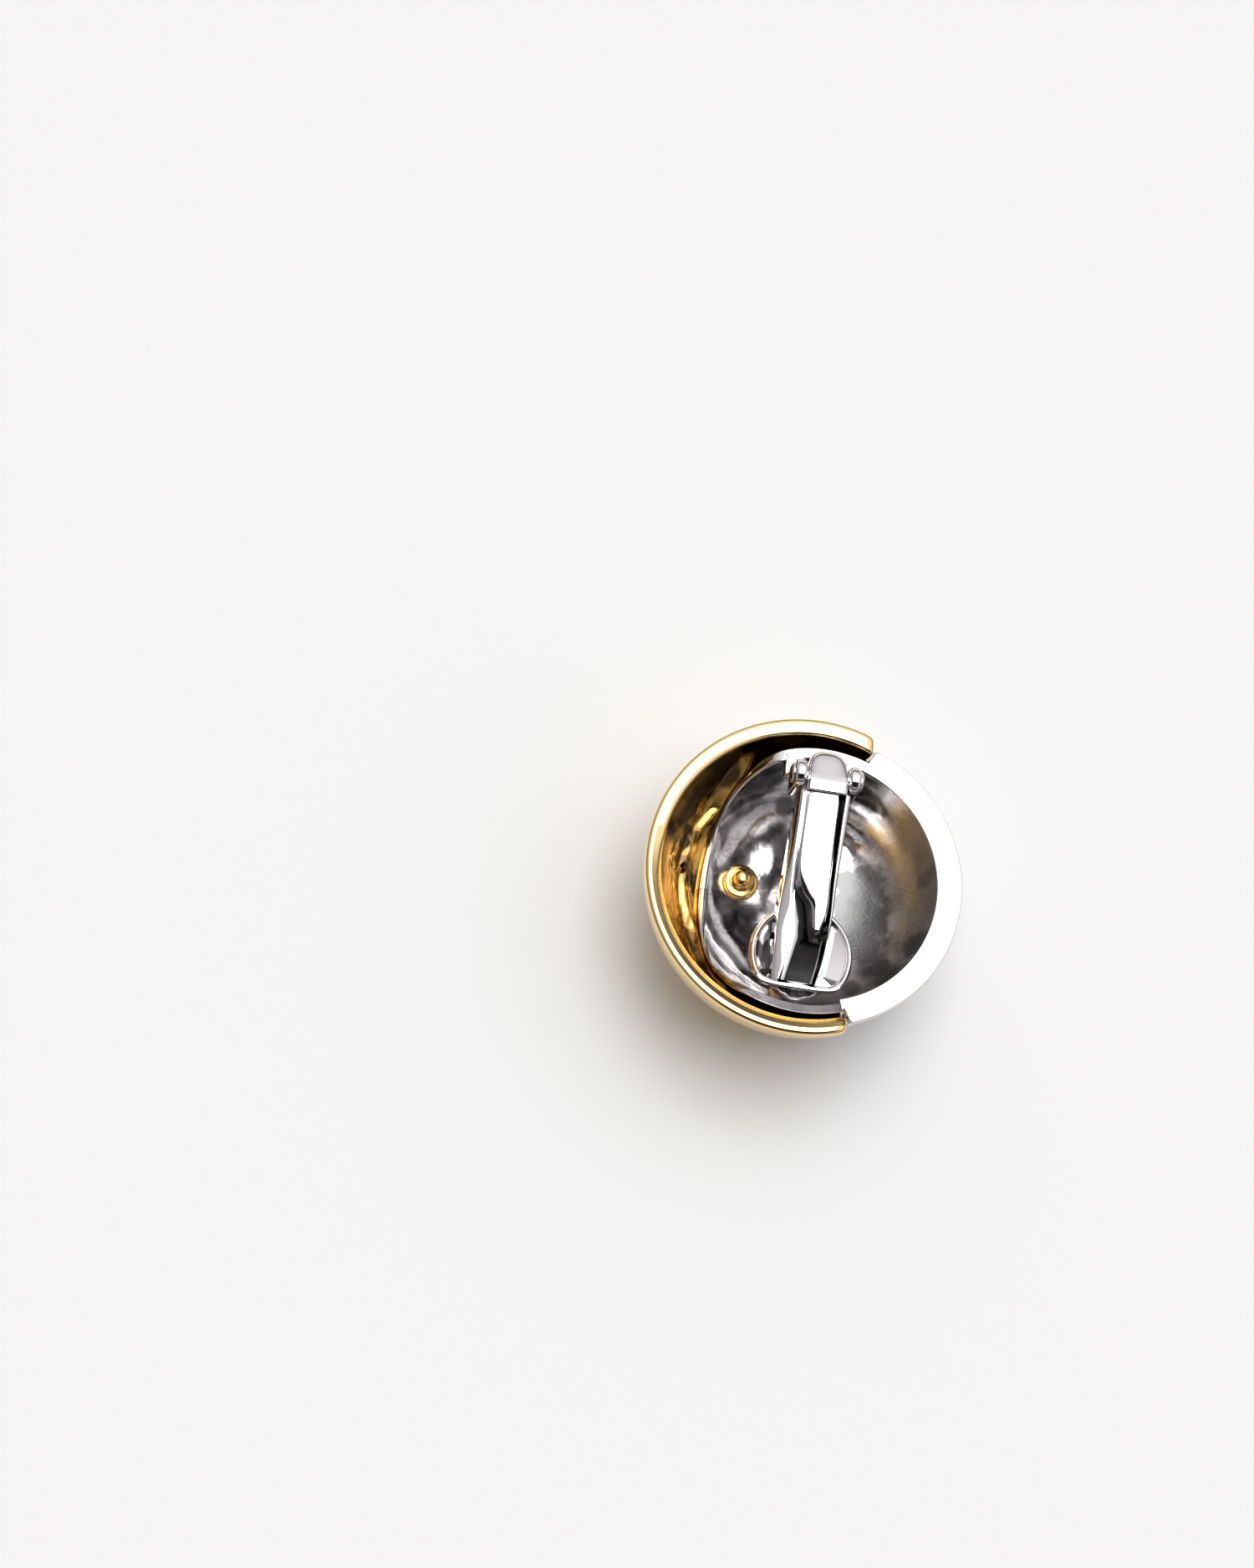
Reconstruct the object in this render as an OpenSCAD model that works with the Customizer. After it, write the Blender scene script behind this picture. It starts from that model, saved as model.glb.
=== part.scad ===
// Two-tone dome earring with a sprung clip, lying on its dome with the open back up.
// The dome is an open silver bowl, wrapped for a bit more than half by a gold shell.
// The working frame below has x across the seam towards the silver, y along the seam
// towards the hinge, and z out of the open back, with 0 at the centre of the silver rim.
// The last step moves the piece so that its lowest point is at z = 0 and its middle is
// over the origin. It rests level by itself, with its weight right over that point.

/* [Silver bowl] */
// Radius of the silver ball surface where it shows
silver_r = 10.45; // [10.3:0.05:10.6]
// Height of the centre of that ball above the silver rim
silver_lift = 0.3; // [0.1:0.05:0.4]
// Radius of the hollow of the bowl
bowl_r = 8.65; // [8.5:0.05:8.7]
// Gap between the ledge of the bowl and the gold shell that lies on it
seat_gap = 0.12; // [0.08:0.01:0.16]
// Distance from the centre at which the hidden end of the bowl meets the rim
hidden_end_x = 3.8; // [3:0.1:4.5]
// Lean of that hidden end, outwards with depth, in degrees
hidden_end_lean = 25; // [20:1:30]

/* [Gold shell] */
// Radius of the outer gold surface
gold_r = 11.3; // [11.2:0.05:11.5]
// Thickness of the gold shell
gold_wall = 1.15; // [1:0.05:1.2]
// How far the centre of the gold ball lies from the centre of the silver one
gold_shift = 0.57; // [0.5:0.01:0.65]
// Height of the gold rim above the silver rim
gold_rise = 0.5; // [0.2:0.1:0.8]
// Height of the centre of the gold ball above the gold rim
gold_lift = 0.3; // [0.2:0.05:0.4]
// Distance from the centre to the seam, at the silver rim
seam_x = 3.3; // [3:0.1:3.6]
// Lean of the seam, back over the gold with depth, in degrees
seam_lean = 15; // [12:1:18]
// Open gap between the gold edge and the silver step
seam_gap = 0.15; // [0.1:0.01:0.2]

/* [Rivet peg] */
// Place of the peg across the seam
peg_x = -3.85; // [-4.5:0.05:-3]
// Place of the peg along the seam
peg_y = 1.35; // [0:0.05:2]
// Radius of the boss that fills the hole of the bowl
boss_r = 1.15; // [1:0.05:1.3]
// Radius of the peg on the boss
peg_r = 0.7; // [0.6:0.05:0.8]
// Height of the rounded peg top above the hollow of the bowl
peg_rise = 1.25; // [1:0.05:1.5]
// Height of the boss above the hollow of the bowl
boss_rise = 0.35; // [0.3:0.05:0.5]
// Gap round the boss in its hole
peg_gap = 0.08; // [0.05:0.01:0.12]

/* [Hinge] */
// Distance of the hinge pin from the centre of the bowl
pin_y = 7; // [6.9:0.05:7.1]
// Height of the hinge pin above the silver rim
pin_z = 1.1; // [1.05:0.05:1.3]
// Radius of the hinge pin
pin_r = 0.45; // [0.4:0.01:0.5]
// Running gap between the pin and the knuckle of the lever
pin_run = 0.05; // [0.03:0.01:0.08]
// Gap between the pin and the ears that hold it
pin_seat = 0.02; // [0.01:0.01:0.04]
// Radius of the rounded ear tops
ear_r = 1; // [0.9:0.05:1.05]
// Thickness of each ear
ear_t = 0.8; // [0.7:0.05:0.9]
// Distance between the inner faces of the ears
ear_inside = 3; // [2.9:0.05:3.1]
// Thickness of the base plate that carries the ears
base_t = 0.8; // [0.6:0.1:1]
// Depth of the base plate below the silver rim
base_drop = 0.1; // [0.05:0.05:0.2]
// Radius of the peened ends of the pin
peen_r = 0.75; // [0.65:0.05:0.8]
// Height of the peened ends
peen_h = 0.3; // [0.2:0.05:0.35]

/* [Clip lever] */
// Width of the lever channel
lever_w = 3.9; // [3.7:0.05:4]
// Depth of the lever channel
lever_h = 1.2; // [1.1:0.05:1.3]
// Thickness of the stamped metal
sheet_t = 0.45; // [0.4:0.05:0.5]
// Slope of the lever down into the bowl, in degrees
lever_slope = 14.5; // [14:0.1:15]
// Radius of the round paddle at the end of the lever
paddle_r = 3.4; // [3.2:0.05:3.5]
// Distance of the middle of the paddle from the centre of the bowl
paddle_y = 5; // [4.9:0.05:5.1]
// Depth of the top of the paddle below the silver rim
paddle_drop = 2; // [1.95:0.01:2.05]
// Distance of the straight end of the lever from the centre of the bowl
lever_end_y = 6.85; // [6.7:0.05:7]
// Width of the raised rim of the paddle
paddle_rim_w = 0.3; // [0.2:0.05:0.4]
// Height of the raised rim of the paddle
paddle_rim_h = 0.15; // [0.1:0.05:0.2]

/* [Stop pad] */
// Radius of the cupped pad on which the paddle closes
stop_r = 2.5; // [2.3:0.05:2.6]
// Distance of the pad from the centre of the bowl
stop_y = 5.4; // [5.3:0.05:5.5]
// Gap between the closed paddle and the pad
stop_gap = 0.15; // [0.1:0.01:0.2]
// Depth of the cup in the pad
cup_depth = 0.35; // [0.3:0.05:0.4]
// Thickness of the pad
stop_t = 0.75; // [0.7:0.05:0.9]
// Radius of the post under the pad
post_r = 0.9; // [0.8:0.1:1.2]

/* [Hidden] */
$fn = 96;

gold_colour = [0.83, 0.62, 0.24];
silver_colour = [0.76, 0.76, 0.77];
far = 40;
gold_centre = [-gold_shift, 0, gold_rise + gold_lift];
gold_in_r = gold_r - gold_wall;

// The bowl and the gold shell under the peg, both measured along z
peg_foot_z = gold_centre[2] - sqrt(pow(gold_in_r, 2) - pow(peg_x + gold_shift, 2) - pow(peg_y, 2));
bowl_at_peg_z = -sqrt(pow(bowl_r, 2) - pow(peg_x, 2) - pow(peg_y, 2));

ear_outside = ear_inside + 2 * ear_t;
ear_gap = 0.1;
ear_clear = 0.2;
knuckle_w = ear_inside - 2 * ear_gap;
knuckle_r = 0.95;
shoulder_r = 0.6;
lever_top = pin_z + knuckle_r;
paddle_under_z = -paddle_drop - sheet_t;
stop_top_z = paddle_under_z - stop_gap;

// The step from the working frame to the place where the piece is drawn
gold_rim_r = sqrt(pow(gold_r, 2) - pow(gold_lift, 2));
silver_rim_r = sqrt(pow(silver_r, 2) - pow(silver_lift, 2));
to_place = [(gold_rim_r + gold_shift - silver_rim_r) / 2, 0, gold_r - gold_centre[2]];

// The silver side of a plane that meets z = 0 at x and leans over the gold with depth
module beyond(x, lean) {
    translate([x, 0, 0])
        rotate([0, lean, 0])
            translate([0, -far / 2, -far / 2])
                cube(far);
}

// The gold side of the same plane
module short_of(x, lean) {
    translate([x, 0, 0])
        rotate([0, lean, 0])
            translate([-far, -far / 2, -far / 2])
                cube(far);
}

// Everything below a level
module below(level) {
    translate([-far / 2, -far / 2, level - far])
        cube(far);
}

// Sets the piece down on its dome
module placed() {
    translate(to_place)
        children();
}

// The bowl with its wall thinned to the ledge where the gold lies over it
module silver_bowl() {
    difference() {
        intersection() {
            translate([0, 0, silver_lift])
                sphere(silver_r);
            below(0);
            beyond(-hidden_end_x, hidden_end_lean);
        }
        sphere(bowl_r);
        intersection() {
            difference() {
                sphere(silver_r + 2);
                translate(gold_centre)
                    sphere(gold_in_r - seat_gap);
            }
            short_of(seam_x + seam_gap, seam_lean);
        }
    }
}

module clip_seat() {
    // Base plate, let into the wall of the bowl
    translate([-ear_outside / 2 - 0.45, pin_y - 1.1, -base_drop - base_t])
        cube([ear_outside + 0.5, 3, base_t]);
    // The two ears
    for (side = [-1, 1])
        translate([side * (ear_inside + ear_t) / 2, pin_y, 0]) {
            translate([0, 0, pin_z])
                rotate([0, 90, 0])
                    cylinder(h = ear_t, r = ear_r, center = true);
            translate([-ear_t / 2, -ear_r, -base_drop - base_t / 2])
                cube([ear_t, 2 * ear_r, pin_z + base_drop + base_t / 2]);
        }
    // Cupped stop pad on its post
    translate([0, -stop_y, stop_top_z]) {
        difference() {
            translate([0, 0, -stop_t])
                cylinder(h = stop_t, r = stop_r);
            translate([0, 0, -cup_depth])
                cylinder(h = cup_depth + 1, r = stop_r - cup_depth);
        }
        translate([0, 0, -4])
            cylinder(h = 4 - stop_t / 2, r = post_r);
    }
}

module silver_shell() {
    color(silver_colour)
        placed()
            difference() {
                union() {
                    silver_bowl();
                    clip_seat();
                }
                // Hole for the boss of the gold shell
                translate([peg_x, peg_y, bowl_at_peg_z - 4])
                    cylinder(h = 5, r = boss_r + peg_gap);
                // Bores of the ears
                translate([0, pin_y, pin_z])
                    rotate([0, 90, 0])
                        cylinder(h = 2 * ear_outside, r = pin_r + pin_seat, center = true);
            }
}

module gold_shell() {
    boss_top = bowl_at_peg_z + boss_rise;
    color(gold_colour)
        placed() {
            intersection() {
                translate(gold_centre)
                    difference() {
                        sphere(gold_r);
                        sphere(gold_in_r);
                    }
                below(gold_rise);
                short_of(seam_x, seam_lean);
            }
            translate([peg_x, peg_y, 0]) {
                translate([0, 0, peg_foot_z - gold_wall / 2])
                    cylinder(h = boss_top - peg_foot_z + gold_wall / 2, r = boss_r);
                translate([0, 0, peg_foot_z])
                    cylinder(h = bowl_at_peg_z + peg_rise - peg_r - peg_foot_z, r = peg_r);
                translate([0, 0, bowl_at_peg_z + peg_rise - peg_r])
                    sphere(peg_r);
            }
        }
}

module hinge_pin() {
    color(silver_colour)
        placed()
            translate([0, pin_y, pin_z])
                rotate([0, 90, 0]) {
                    cylinder(h = ear_outside + peen_h, r = pin_r, center = true);
                    for (end = [0, 1])
                        mirror([0, 0, end])
                            translate([0, 0, ear_outside / 2 + 0.02])
                                cylinder(h = peen_h, r = peen_r);
                }
}

// Outline of the channel across the lever, its top at 0
module channel_section() {
    difference() {
        union() {
            translate([-lever_w / 2, -lever_h])
                square([lever_w, lever_h - shoulder_r]);
            translate([-lever_w / 2 + shoulder_r, -lever_h])
                square([lever_w - 2 * shoulder_r, lever_h]);
            for (side = [-1, 1])
                translate([side * (lever_w / 2 - shoulder_r), -shoulder_r])
                    circle(shoulder_r);
        }
        translate([-lever_w / 2 + sheet_t, -lever_h - 1])
            square([lever_w - 2 * sheet_t, lever_h + 1 - sheet_t]);
    }
}

module clip_lever() {
    channel_start = pin_y - 1.05;
    channel_len = (channel_start + lever_end_y) / cos(lever_slope) + 1;
    color(silver_colour)
        placed()
            difference() {
                union() {
                    // Knuckle and the tongue that joins it to the channel
                    translate([0, pin_y, pin_z])
                        rotate([0, 90, 0])
                            cylinder(h = knuckle_w, r = knuckle_r, center = true);
                    translate([-knuckle_w / 2, channel_start - 0.6, lever_top - 2 * sheet_t])
                        cube([knuckle_w, pin_y - channel_start + 0.6, 1.2 * sheet_t]);
                    // Channel, from just clear of the ears to its straight end
                    intersection() {
                        translate([0, channel_start, lever_top - 0.3])
                            rotate([90 + lever_slope, 0, 0])
                                linear_extrude(channel_len)
                                    channel_section();
                        translate([-far / 2, -lever_end_y, paddle_under_z])
                            cube([far, lever_end_y + pin_y - ear_r - ear_clear, far]);
                    }
                    // Round paddle with a raised rim, cut straight at the end of the lever
                    intersection() {
                        translate([0, -paddle_y, paddle_under_z])
                            difference() {
                                cylinder(h = sheet_t + paddle_rim_h, r = paddle_r);
                                translate([0, 0, sheet_t])
                                    cylinder(h = 1, r = paddle_r - paddle_rim_w);
                            }
                        translate([-far / 2, -lever_end_y, -far / 2])
                            cube(far);
                    }
                }
                translate([0, pin_y, pin_z])
                    rotate([0, 90, 0])
                        cylinder(h = 2 * ear_outside, r = pin_r + pin_run, center = true);
            }
}

gold_shell();
silver_shell();
hinge_pin();
clip_lever();
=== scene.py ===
# %% [markdown]
# A clip-on earring lies on its dome, with the open back and its clip in view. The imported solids
# are the fixed frame: they say where each piece is and which body it moves with. Everything
# made here is a finer surface for one of those solids, worked out with numpy.

# %% Load the frame
import math

import bpy
import numpy as np
from mathutils import Matrix, Vector


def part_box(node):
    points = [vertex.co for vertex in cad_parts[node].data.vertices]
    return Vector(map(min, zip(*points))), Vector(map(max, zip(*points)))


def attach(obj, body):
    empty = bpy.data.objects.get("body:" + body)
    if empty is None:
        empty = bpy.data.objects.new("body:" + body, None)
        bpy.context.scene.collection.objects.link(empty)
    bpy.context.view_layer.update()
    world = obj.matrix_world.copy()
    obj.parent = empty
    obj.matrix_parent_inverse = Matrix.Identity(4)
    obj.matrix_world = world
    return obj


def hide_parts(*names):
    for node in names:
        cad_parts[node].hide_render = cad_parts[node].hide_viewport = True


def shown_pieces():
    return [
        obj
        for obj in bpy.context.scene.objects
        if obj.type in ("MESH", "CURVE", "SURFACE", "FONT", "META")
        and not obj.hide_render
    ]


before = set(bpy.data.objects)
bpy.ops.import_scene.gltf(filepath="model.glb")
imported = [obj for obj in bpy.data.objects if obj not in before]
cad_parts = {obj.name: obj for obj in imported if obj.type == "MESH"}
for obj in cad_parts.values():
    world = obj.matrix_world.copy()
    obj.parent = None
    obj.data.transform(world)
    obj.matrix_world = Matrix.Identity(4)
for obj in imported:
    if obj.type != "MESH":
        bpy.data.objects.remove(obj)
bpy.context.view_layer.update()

# %% [markdown]
# The shapes are written in millimetres in the maker's own frame: x across the seam towards the
# silver, y along the seam towards the hinge, z out of the open back, 0 at the centre of the
# silver rim. The hinge pin is at a known place in that frame, so the difference between the
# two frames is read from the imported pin, and nothing has to be fitted by eye.

# %% One frame for all pieces
MM = 0.001
PIN = np.array([0.0, 7.0, 1.1])
pin_low, pin_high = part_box("hinge_pin")
PLACE = (np.array(pin_low) + np.array(pin_high)) / 2 / MM - PIN
print("maker's frame starts at", PLACE.round(3), "mm")


def to_frame(points):
    """Maker's millimetres to the frame's metres: add the place, then scale."""
    return (np.asarray(points, float) + PLACE) * MM


def unit(v):
    """Vectors divided by their own length."""
    v = np.asarray(v, float)
    return v / np.linalg.norm(v, axis=-1, keepdims=True)


def smooth_step(t):
    """0 below 0, 1 above 1, and 3t^2 - 2t^3 between."""
    t = np.clip(t, 0, 1)
    return t * t * (3 - 2 * t)


# %% [markdown]
# Almost every piece here is a closed skin: rings of points, each joined to the next, with one
# point at either end that closes the hole. A mesh could be drawn by hand, but rings keep the
# seams shut and let a formula place every point. The sign of the volume tells whether the faces
# look outwards; if it is negative, every face is read the other way round.

# %% Closed skins from rings
def ring_faces(count, around):
    """Quads between neighbouring rings, and a fan of triangles that closes either end. The two
    closing points are numbered after all the points of the rings."""
    i, j = np.meshgrid(np.arange(count - 1), np.arange(around), indexing="ij")
    here, beside = i * around + j, i * around + (j + 1) % around
    quads = np.stack([here, beside, beside + around, here + around], -1).reshape(-1, 4)
    j = np.arange(around)
    ahead, base = (j + 1) % around, (count - 1) * around
    cap_a = np.stack([np.full(around, count * around), ahead, j], -1)
    cap_b = np.stack([np.full(around, count * around + 1), base + j, base + ahead], -1)
    return quads, cap_a, cap_b


def volume_of(points, tris):
    """Sum of a . (b x c) / 6 over the triangles: positive if they look outwards."""
    p = points[tris]
    return np.einsum("ij,ij->i", p[:, 0], np.cross(p[:, 1], p[:, 2])).sum() / 6


def put(name, data):
    """A new object at the origin, linked to the scene."""
    piece = bpy.data.objects.new(name, data)
    bpy.context.scene.collection.objects.link(piece)
    return piece


def skin_of(name, rings, first, last, body, slot, second=None):
    """Mesh of rings[i, j], wrapped in j, closed by the points first and last. The mask second
    says which faces between rings take the piece's second material; the last cap does too."""
    count, around, _ = rings.shape
    points = np.vstack([rings.reshape(-1, 3), [first], [last]])
    quads, cap_a, cap_b = ring_faces(count, around)
    tris = np.vstack([quads[:, [0, 1, 2]], quads[:, [0, 2, 3]], cap_a, cap_b])
    volume = volume_of(points, tris)
    if volume < 0:
        quads, cap_a, cap_b = quads[:, ::-1], cap_a[:, ::-1], cap_b[:, ::-1]
    mesh = bpy.data.meshes.new(name)
    mesh.from_pydata(to_frame(points), [], quads.tolist() + cap_a.tolist() + cap_b.tolist())
    mesh.polygons.foreach_set("use_smooth", np.ones(len(mesh.polygons), bool))
    if second is not None:
        index = np.zeros(len(mesh.polygons), np.int32)
        index[: len(quads)] = np.broadcast_to(second, (count - 1, around)).ravel()
        index[-around:] = 1
        mesh.polygons.foreach_set("material_index", index)
    mesh.update()
    piece = put(name, mesh)
    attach(piece, body)
    print(name, len(mesh.polygons), "faces,", round(abs(volume), 2), "mm3")
    return piece


# %% [markdown]
# The insides of such castings are never polished: they keep the lumps of the mould. Value
# noise gives that: random numbers sit on a cubic lattice and are blended between its corners.
# Two to four layers, each with half the cell and about half the height, look like rough metal.

# %% Rough casting as a function of place
LATTICE = 32


def soft_noise(points, cell, seed):
    """Random numbers at the corners of cubes of side cell, blended with the smooth step."""
    table = np.random.default_rng(seed).uniform(-1, 1, (LATTICE,) * 3)
    q = points / cell
    low = np.floor(q).astype(int)
    t = smooth_step(q - low)
    total = np.zeros(points.shape[:-1])
    for corner in np.ndindex(2, 2, 2):
        weight = np.prod(np.where(np.array(corner) == 1, t, 1 - t), axis=-1)
        x, y, z = np.moveaxis((low + corner) % LATTICE, -1, 0)
        total += weight * table[x, y, z]
    return total


def cast_skin(points, cell, seed, layers=4):
    """Sum of soft_noise over layers, each of half the cell and 0.55 of the height before."""
    return sum(0.55**k * soft_noise(points, cell / 2**k, seed + k) for k in range(layers))


block = cast_skin(np.indices((20, 20, 20)).reshape(3, -1).T * 0.3, 1.5, 11)
print("cast noise runs from", block.min().round(2), "to", block.max().round(2))

# %% [markdown]
# Both shells are parts of balls, cut off by flat cuts: the rim, the seam and a hidden end. Seen
# from a pole in the middle of the shell, every direction runs along the ball until it meets the
# nearer cut, so an angle from the pole and a turn round it reach every point of the shell. The
# angle at which a cut is met comes straight from the equation of its plane.

# %% Balls cut by planes
def turn_vectors(pole, turn):
    """Unit vectors square to the pole, one for each turn round it."""
    side = unit(np.cross(pole, [0.0, 1.0, 0.0]))
    return np.cos(turn)[..., None] * side + np.sin(turn)[..., None] * np.cross(pole, side)


def direction(pole, angle, turn):
    """cos(angle) times the pole plus sin(angle) times the vector square to it."""
    across = turn_vectors(pole, turn)
    return np.cos(angle)[..., None] * pole + np.sin(angle)[..., None] * across


def angle_to_cut(centre, radius, pole, turn, cut):
    """Smallest angle at which radius * direction + centre reaches the plane cut = (point, normal):
    a cos + b sin = k, so the angle is atan2(b, a) plus or minus acos(k / length of (a, b))."""
    point, normal = cut
    a = radius * (pole @ normal)
    b = radius * (turn_vectors(pole, turn) @ normal)
    k = (np.asarray(point, float) - centre) @ normal
    reach = np.hypot(a, b)
    half = np.arccos(np.clip(k / reach, -1, 1))
    middle = np.arctan2(b, a)
    both = np.stack([middle - half, middle + half]) % (2 * math.pi)
    return np.where(np.abs(k) > reach, math.pi, both.min(0))


def nearer(a, b, sharp):
    """The smaller of two angles, with the corner between them rounded: -log(e^-ka + e^-kb) / k."""
    return -np.logaddexp(-sharp * a, -sharp * b) / sharp


def tilted(x, lean):
    """A cut that crosses z = 0 at x and leans by lean degrees about y."""
    lean = math.radians(lean)
    return np.array([x, 0.0, 0.0]), np.array([math.cos(lean), 0.0, -math.sin(lean)])


def level(z):
    """A level cut at height z."""
    return np.array([0.0, 0.0, z]), np.array([0.0, 0.0, 1.0])


def steps_between(start, stop, count):
    """count even steps from start to stop, without these two."""
    return np.linspace(start, stop, count + 2)[1:-1]


def rounded_lip(before, edge_a, edge_b, after, size_a, size_b, rows=5, flat=4):
    """Rings over a lip: a curve (1-t)^2 P + 2t(1-t) E + t^2 Q round either edge E, straight rows
    between them. before and after are the rings where the lip starts and ends."""
    along = unit(edge_b - edge_a)
    q_a, q_b = edge_a + size_a * along, edge_b - size_b * along
    t = np.linspace(0, 1, rows)[:, None, None]
    first = (1 - t) ** 2 * before + 2 * t * (1 - t) * edge_a + t**2 * q_a
    second = (1 - t) ** 2 * q_b + 2 * t * (1 - t) * edge_b + t**2 * after
    s = steps_between(0, 1, flat)[:, None, None]
    return np.concatenate([first, (1 - s) * q_a + s * q_b, second])


AROUND = 420
TURN = np.linspace(0, 2 * math.pi, AROUND, endpoint=False)
print(AROUND, "points in every ring of a shell")

# %% [markdown]
# The gold shell wraps a bit more than half of the dome. Outside and on the rim it is polished
# like a mirror, inside it is as cast, with a belt of lumps and a ragged ridge further down. Its
# two ends are rounded off where rim and seam meet. One closed skin does it all: over the
# outside to the edge, round the lip, and back inside.

# %% Gold shell
GOLD_CENTRE = np.array([-0.57, 0.0, 0.8])
GOLD_R, GOLD_WALL = 11.3, 1.15
GOLD_INSIDE_R = GOLD_R - GOLD_WALL
GOLD_POLE = unit([-0.75, 0.0, -0.66])
GOLD_RIM = level(0.5)
GOLD_CORNER = 26
SEAM = tilted(3.3, 15)
HIDDEN_END = (np.array([-3.8, 0.0, 0.0]), -tilted(0, 25)[1])
LEDGE_R = 9.42
BELT_FROM, RIDGE_FROM, RIDGE_HIGH = 3.5, 6.0, 0.4
LIP_OUTSIDE, LIP_INSIDE, LIP_ROUNDER = 0.42, 0.32, 0.2
SINK_ABOVE, SINK_BELOW, SINKS_FROM = 0.03, 0.37, 0.42


def gold_ball(radius, angle):
    """The ring of points at that angle from the pole, on a ball round the shell's centre."""
    return GOLD_CENTRE + radius * direction(GOLD_POLE, angle, TURN)


def gold_cuts(radius):
    """The angles at which that ball meets the rim and the seam."""
    return [angle_to_cut(GOLD_CENTRE, radius, GOLD_POLE, TURN, cut) for cut in (GOLD_RIM, SEAM)]


def gold_casting(flat, from_lip):
    """A ring of the smooth inside, moved the way the casting left it: a belt of lumps drawn out
    along y, a step inwards past a wavy line, which makes the ragged ridge, and a fillet that
    runs up to the silver's ledge near the silver's hidden end."""
    depth = GOLD_RIM[0][2] - flat[:, 2]
    beyond = (HIDDEN_END[0] - flat) @ -HIDDEN_END[1]
    drawn = flat * [1, 0.4, 1]
    lumps = cast_skin(drawn, 1.5, 11) * 0.1 + cast_skin(flat, 0.7, 31, 2) * 0.015
    belt = smooth_step((depth - BELT_FROM) / 1.5) * (1 - smooth_step((1.2 - beyond) / 0.5))
    past = depth - RIDGE_FROM + 0.14 * flat[:, 1] - 0.35 * cast_skin(drawn, 1.4, 57, 3)
    ridge = smooth_step(past / 0.5) * (1 - 0.6 * smooth_step((past - 0.45) / 0.7))
    fillet = smooth_step((1.15 - beyond) / 1.1) * smooth_step((beyond + 0.6) / 0.5)
    fillet *= smooth_step((depth - 1.5) / 2.5)
    inside = smooth_step(from_lip - 0.3)
    move = inside * belt * lumps - RIDGE_HIGH * ridge * smooth_step(beyond + 0.4)
    gap = np.linalg.norm(flat, axis=-1) - LEDGE_R - 0.04
    move = move * (1 - fillet) - gap * fillet
    return flat + move[:, None] * unit(flat - GOLD_CENTRE)


def gold_skin():
    """Rings from the outer pole over the lip to the inner pole. finger is 1 at the lip's ends,
    whose edges are rounder. Past SINKS_FROM of its width the lip slopes down by sink in all."""
    a_out = nearer(*gold_cuts(GOLD_R), GOLD_CORNER)
    rim, seam = gold_cuts(GOLD_INSIDE_R)
    a_in = nearer(rim, seam, GOLD_CORNER)
    edge_out, edge_in = gold_ball(GOLD_R, a_out), gold_ball(GOLD_INSIDE_R, a_in)
    finger = smooth_step((rim - seam) * 20) * smooth_step((edge_out[:, 2] + 1.4) / 1.4)
    size_out, size_in = LIP_OUTSIDE + LIP_ROUNDER * finger, LIP_INSIDE + LIP_ROUNDER * finger
    start, stop = a_out - size_out / GOLD_R, a_in - size_in / GOLD_INSIDE_R
    outer = np.stack([gold_ball(GOLD_R, start * f) for f in steps_between(0, 1, 60)])
    inner = np.stack([
        gold_casting(gold_ball(GOLD_INSIDE_R, stop * f), (a_in - stop * f) * GOLD_INSIDE_R)
        for f in steps_between(1, 0, 116)
    ])
    lip = rounded_lip(
        gold_ball(GOLD_R, start), edge_out, edge_in, gold_ball(GOLD_INSIDE_R, stop),
        size_out[:, None], size_in[:, None], rows=7, flat=16,
    )
    across = np.einsum("ijk,jk->ij", lip - edge_out, unit(edge_in - edge_out)) / GOLD_WALL
    sink = SINK_ABOVE + SINK_BELOW * smooth_step(0.6 - edge_out[:, 1] / 5)
    lip[..., 2] -= sink * np.clip((across - SINKS_FROM) / (1 - SINKS_FROM), 0, 1.1)
    rings = np.concatenate([outer, lip, inner])
    ends = GOLD_CENTRE + GOLD_POLE * GOLD_R, inner[-1].mean(0)
    return rings, ends, np.arange(len(rings) - 1)[:, None] >= len(outer) + len(lip) - 1


rings, ends, cast_faces = gold_skin()
gold_wrap = skin_of("gold_wrap", rings, *ends, "shell", "gold_plate", cast_faces)
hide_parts("gold_shell")

# %% [markdown]
# The hollow of the silver bowl was cast, not turned. Its bottom is flatter than a ball, with a
# soft swell under the hinge, and both decide where the highlights lie: a bright metal shows its
# form only through them. The equation of a squarish oval gives the bottom with one number.

# %% Hollow of the silver bowl
BOWL_R, BOWL_DEEP, BOWL_SQUARE = 8.65, 7.2, 3.2
SWELL_AT, SWELL_WIDE, SWELL_HIGH = np.array([-1.0, 3.0]), 2.8, 0.45


def hollow(d):
    """Inside of the bowl along d: (across / BOWL_R)^s + (down / BOWL_DEEP)^s = 1, flatter at the
    bottom than a ball; so the distance is that sum for d itself, to the power -1/s."""
    across, down = np.hypot(d[..., 0], d[..., 1]), np.maximum(-d[..., 2], 0)
    total = (across / BOWL_R) ** BOWL_SQUARE + (down / BOWL_DEEP) ** BOWL_SQUARE
    return total[..., None] ** (-1 / BOWL_SQUARE) * d


def silver_casting(flat, from_lip):
    """A ring of the smooth hollow, moved inwards by large soft lumps, small flat ones, and the
    swell SWELL_HIGH * exp(-(r / SWELL_WIDE)^2) round SWELL_AT."""
    lumps = cast_skin(flat, 3.4, 71, 2) * 0.1 + cast_skin(flat, 0.9, 91, 2) * 0.005
    away = np.linalg.norm(flat[:, :2] - SWELL_AT, axis=-1) / SWELL_WIDE
    lumps += SWELL_HIGH * np.exp(-(away**2))
    return flat - (smooth_step((from_lip - 0.15) / 0.9) * lumps)[:, None] * unit(flat)


print("hollow is", 2 * BOWL_R, "mm wide and", BOWL_DEEP, "mm deep")

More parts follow.
